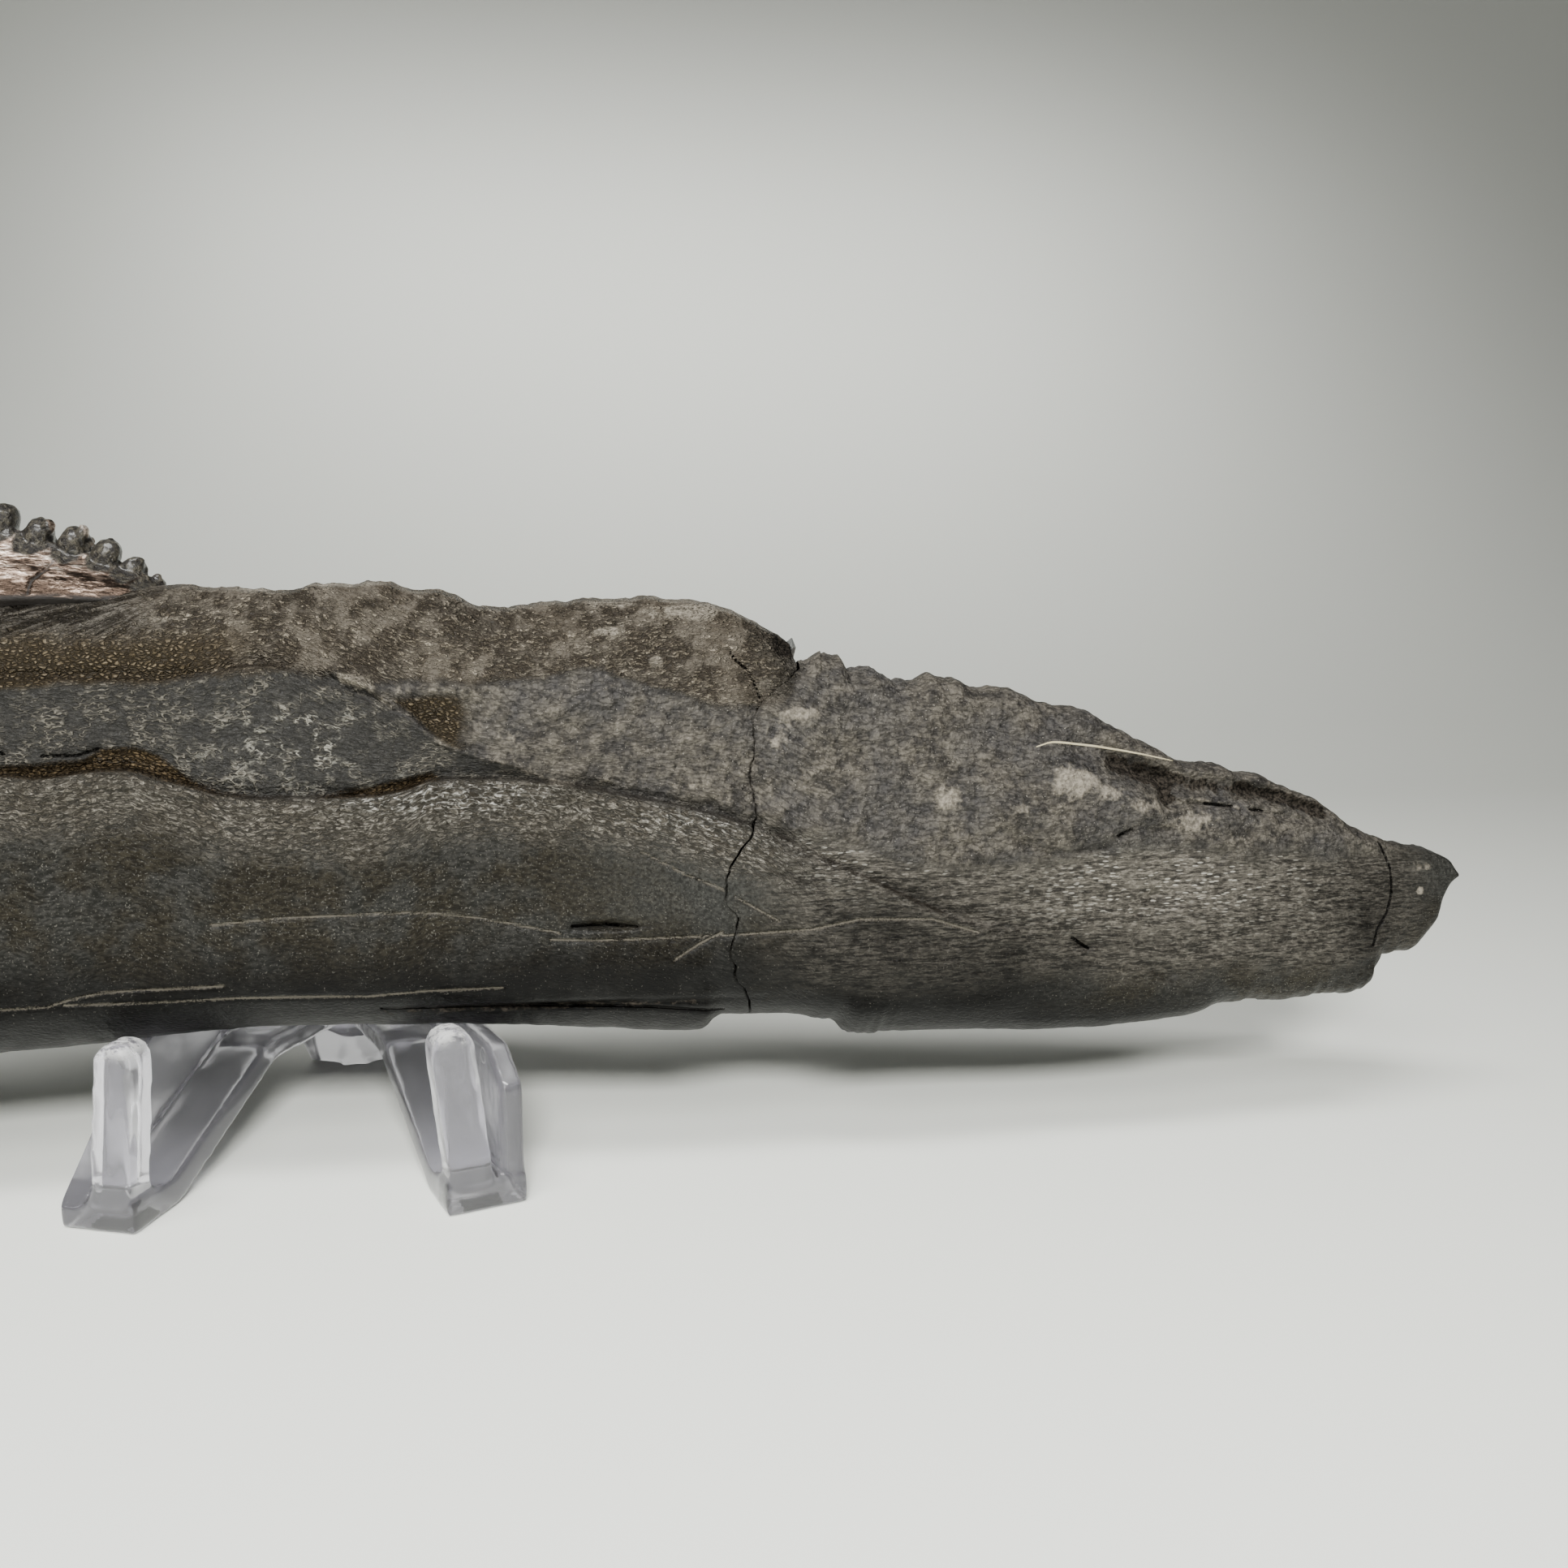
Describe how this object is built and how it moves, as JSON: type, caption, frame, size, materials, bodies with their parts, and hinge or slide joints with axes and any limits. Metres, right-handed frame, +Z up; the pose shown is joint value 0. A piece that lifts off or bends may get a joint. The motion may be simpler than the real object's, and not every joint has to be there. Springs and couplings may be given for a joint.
{
  "type": "fossil edestus shark jaw",
  "caption": "Curved fossil shark jaw of nested tooth roots with serrated crowns at its back end, leaning on a small clear easel.",
  "frame": {"origin": "middle of the bottom of the bounding box, on the surface that the easel stands on", "axes": "+X along the jaw to its broken front tip, +Y towards the back that the jaw leans to, +Z up"},
  "size_m": [0.2546, 0.061, 0.1028],
  "materials": {
    "fossil_root": "matt with a soft sheen",
    "fossil_enamel": "polished, with bronze glints",
    "clear_plastic": "clear, slightly frosted"
  },
  "bodies": {
    "root": {"jaw_roots_and_crowns": "fossil_root", "jaw_front_tip": "fossil_root", "clear_easel": "clear_plastic"}
  },
  "joints": []
}
